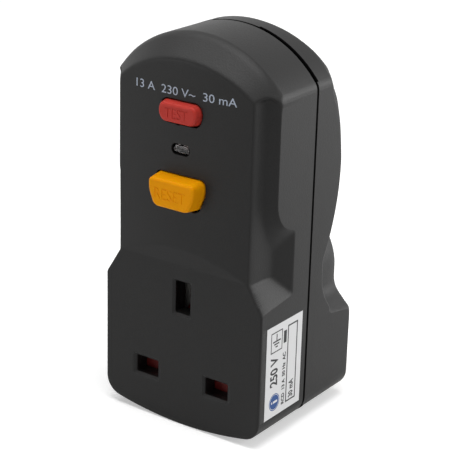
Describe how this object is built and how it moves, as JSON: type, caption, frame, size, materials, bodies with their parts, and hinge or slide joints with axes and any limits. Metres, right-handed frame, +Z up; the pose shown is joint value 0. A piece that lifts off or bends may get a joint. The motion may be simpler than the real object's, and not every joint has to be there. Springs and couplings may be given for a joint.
{
  "type": "rcd plug adapter",
  "caption": "Plug-in residual current device with a three-hole socket in front, test and reset buttons above it, and three plug pins at the back.",
  "frame": {"origin": "plug face, midway between the live and neutral pins", "axes": "+X to the right seen from the socket face, +Y from the socket face to the pins, +Z up towards the buttons"},
  "size_m": [0.0494, 0.0711, 0.1036],
  "materials": {
    "black_shell": "satin, fine spark texture",
    "screw_steel": "zinc plated",
    "label": "printed film",
    "red_shutter": "moulded",
    "spring_steel": "drawn wire",
    "inner_moulding": "moulded",
    "contact_brass": "rolled strip",
    "pin_brass": "polished",
    "sleeve": "moulded",
    "red_button": "satin",
    "yellow_button": "satin",
    "clear_lens": "clear",
    "lamp": "clear red",
    "board": "laminate",
    "copper_wire": "enamelled",
    "ferrite": "sintered",
    "blue_coating": "epoxy dip",
    "capacitor_case": "moulded"
  },
  "bodies": {
    "case": {"front_shell": "black_shell", "rear_shell": "black_shell", "case_screws": "screw_steel", "side_label": "label", "shutter_spring": "spring_steel", "shutter_guide": "black_shell", "socket_insert": "inner_moulding", "live_contact": "contact_brass", "neutral_contact": "contact_brass", "earth_contact": "contact_brass", "live_pin": "pin_brass", "neutral_pin": "pin_brass", "earth_pin": "pin_brass", "live_pin_sleeve": "sleeve", "neutral_pin_sleeve": "sleeve", "live_strap": "contact_brass", "neutral_strap": "contact_brass", "earth_strap": "contact_brass", "live_link": "contact_brass", "neutral_link": "contact_brass", "test_spring": "spring_steel", "test_strip": "contact_brass", "reset_spring": "spring_steel", "indicator_lens": "clear_lens", "indicator_lamp": "lamp", "mechanism_frame": "inner_moulding", "circuit_board": "board", "board_screws": "screw_steel", "live_fixed_contact": "contact_brass", "neutral_fixed_contact": "contact_brass", "opening_spring": "spring_steel", "trip_bobbin": "inner_moulding", "trip_winding": "copper_wire", "plunger_spring": "spring_steel", "latch_pin": "screw_steel", "transformer_core": "ferrite", "transformer_winding": "copper_wire", "varistor": "blue_coating", "capacitor": "capacitor_case"},
    "test_button": {"test_button": "red_button"},
    "reset_button": {"reset_button": "yellow_button"},
    "shutter": {"shutter": "red_shutter"},
    "contact_carrier": {"contact_carrier": "inner_moulding", "moving_contacts": "contact_brass"},
    "trip_plunger": {"trip_plunger": "screw_steel"},
    "trip_latch": {"trip_latch": "screw_steel"}
  },
  "joints": [
    {"name": "test_press", "type": "slide", "parent": "case", "child": "test_button", "axis": [0, 1, 0], "range_m": [0, 0.0012], "stiffness_N_per_m": 400, "springref_m": -0.001, "deforming": ["test_spring"]},
    {"name": "reset_press", "type": "slide", "parent": "case", "child": "reset_button", "axis": [0, 1, 0], "range_m": [0, 0.0025], "stiffness_N_per_m": 500, "springref_m": -0.001, "deforming": ["reset_spring"]},
    {"name": "shutter_slide", "type": "slide", "parent": "case", "child": "shutter", "axis": [0, 0, -1], "range_m": [0, 0.0055], "stiffness_N_per_m": 150, "springref_m": -0.002, "deforming": ["shutter_spring"]},
    {"name": "contact_close", "type": "slide", "parent": "case", "child": "contact_carrier", "axis": [0, 1, 0], "range_m": [0, 0.0018], "stiffness_N_per_m": 300, "springref_m": -0.001, "deforming": ["opening_spring"]},
    {"name": "trip_plunge", "type": "slide", "parent": "case", "child": "trip_plunger", "axis": [0, 0, -1], "range_m": [0, 0.0015], "stiffness_N_per_m": 200, "springref_m": -0.001, "deforming": ["plunger_spring"]},
    {"name": "latch_turn", "type": "hinge", "parent": "case", "child": "trip_latch", "pos_m": [0, -0.026, 0.052], "axis": [1, 0, 0], "range_deg": [0, 12], "stiffness_Nm_per_rad": 0.002, "springref_deg": -5.73}
  ]
}
